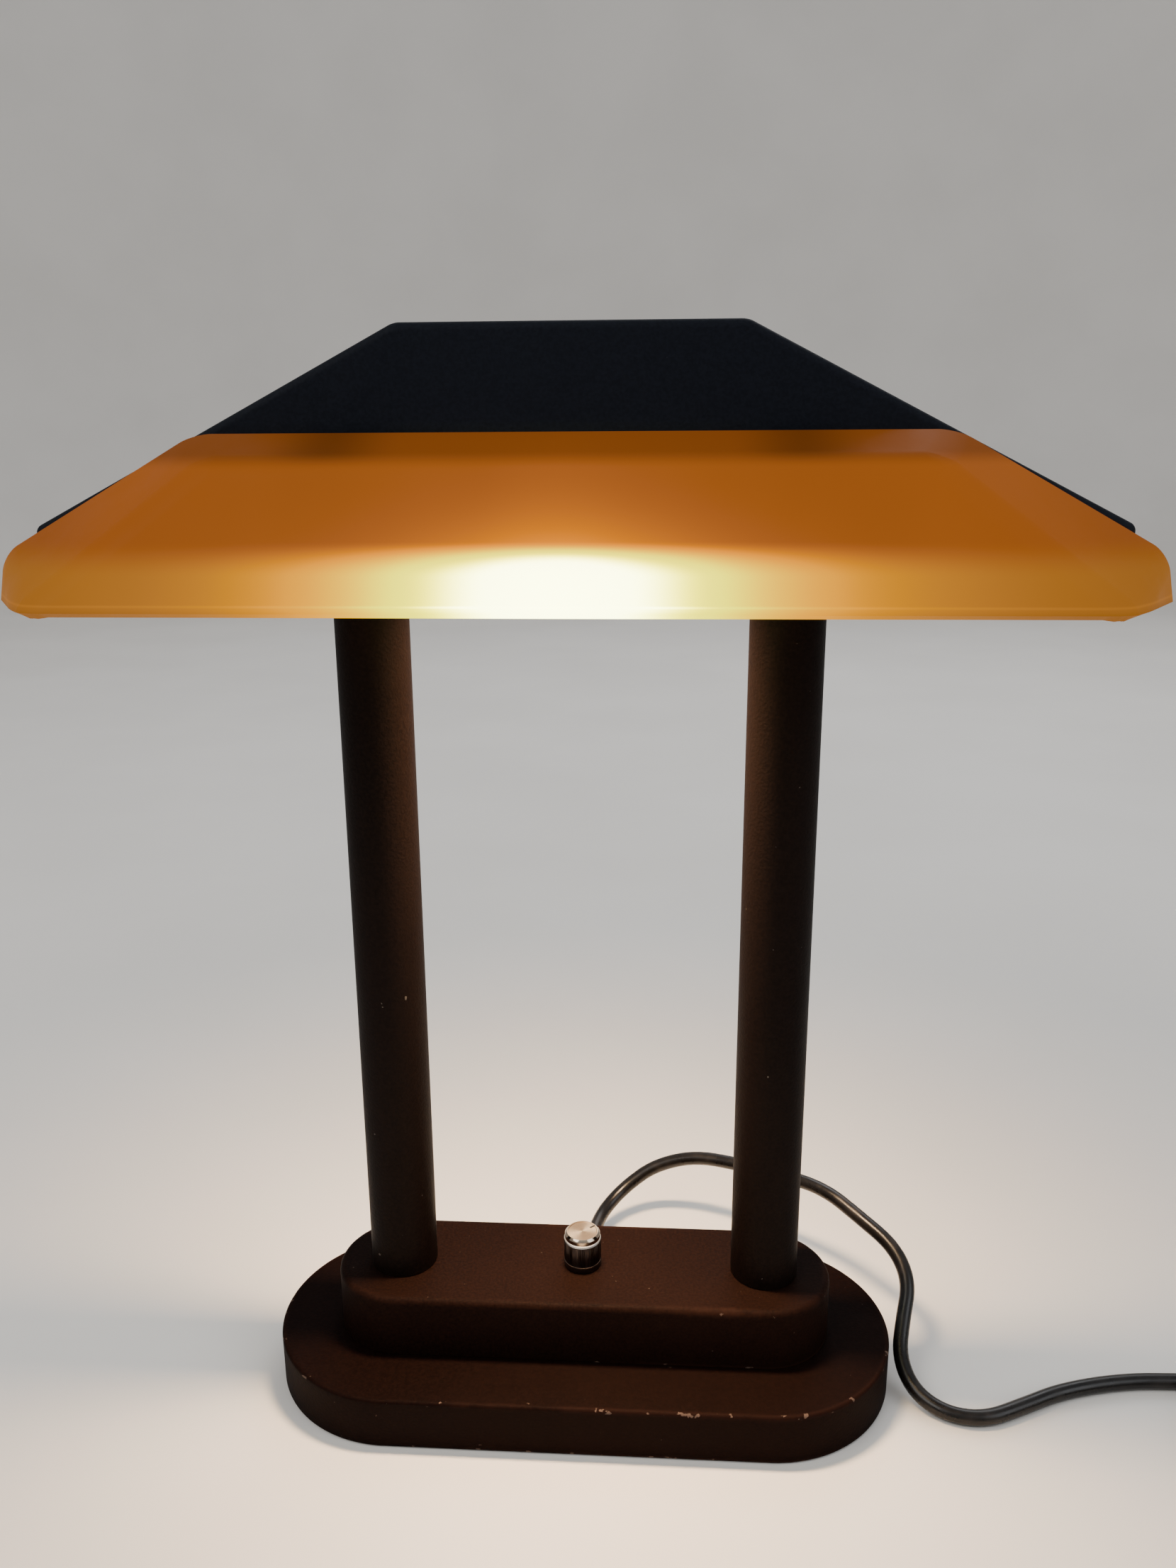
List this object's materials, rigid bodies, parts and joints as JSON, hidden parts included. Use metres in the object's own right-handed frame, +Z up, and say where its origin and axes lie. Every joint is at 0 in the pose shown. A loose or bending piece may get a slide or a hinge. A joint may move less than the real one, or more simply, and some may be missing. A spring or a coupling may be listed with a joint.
{
  "type": "banker desk lamp",
  "caption": "Twin-post desk lamp with a stepped round-ended base, black pressed hood, lift-off frosted amber glass shade, halogen lamp and rotary dimmer knob",
  "frame": {"origin": "Middle of the lamp's footprint box without its cord, on the table top", "axes": "+Z up, the lamp faces -Y with its glass in front, +X to the right seen from the front"},
  "size_m": [0.602, 0.2891, 0.46],
  "materials": {
    "black_base": "satin black textured powder coat, worn on its edges",
    "black_post": "fine-textured black powder coat",
    "black_hood": "matt black powder coat",
    "amber_glass": "frosted amber",
    "clear_glass": "clear quartz",
    "glow": "glowing tungsten coil",
    "ballast_iron": "rough grey casting",
    "plated_steel": "zinc plated",
    "felt": "dark felt",
    "white_reflector": "gloss white enamel",
    "ceramic": "unglazed white steatite",
    "brass": "plain",
    "turned_aluminium": "turned",
    "chrome_knob": "polished with a spun top",
    "black_ink": "matt",
    "black_plastic": "moulded",
    "clear_plastic": "translucent moulding",
    "lead_sleeve": "woven glass-fibre sleeve",
    "black_rubber": "satin moulded",
    "plug_metal": "nickel plated"
  },
  "bodies": {
    "base": {"lower_step": "black_base", "upper_step": "black_base", "ballast": "ballast_iron", "cover_plate": "plated_steel", "felt_pad": "felt", "cover_screws": "plated_steel", "left_post": "black_post", "right_post": "black_post", "post_spigots": "black_plastic", "tie_tubes": "plated_steel", "tie_washers": "plated_steel", "tie_nuts": "plated_steel", "hood": "black_hood", "crossbar": "plated_steel", "hood_screws": "plated_steel", "glass_rails": "black_hood", "glass_bumpers": "black_rubber", "reflector": "white_reflector", "left_lampholder": "ceramic", "right_lampholder": "ceramic", "holder_screws": "plated_steel", "lamp_contacts": "brass", "lamp_tube": "clear_glass", "lamp_caps": "ceramic", "filament": "glow", "dimmer_body": "black_plastic", "dimmer_bush": "brass", "dimmer_washer": "plated_steel", "dimmer_nut": "plated_steel", "lamp_leads": "lead_sleeve", "terminal_block": "clear_plastic", "terminal_screws": "brass", "dimmer_leads": "lead_sleeve", "cord_gland": "black_rubber", "cord_inside": "black_rubber", "cord_clamp": "black_plastic", "cord_clamp_seat": "black_plastic", "cord": "black_rubber", "cord_coil": "black_rubber", "cord_tail": "black_rubber", "plug_body": "black_rubber", "plug_pins": "plug_metal"},
    "knob": {"dimmer_shaft": "turned_aluminium", "knob_skirt": "chrome_knob", "knob_cap": "chrome_knob", "knob_pointer": "black_ink", "knob_grub_screw": "plated_steel"},
    "glass": {"amber_glass": "amber_glass", "glass_hangers": "plated_steel"}
  },
  "joints": [
    {"name": "knob_turn", "type": "hinge", "parent": "base", "child": "knob", "pos_m": [0, 0.011, 0.0602], "axis": [0, 0, 1], "range_deg": [-90, 210]},
    {"name": "glass_lift", "type": "slide", "parent": "base", "child": "glass", "axis": [0, 0, 1], "range_m": [0, 0.01]}
  ]
}
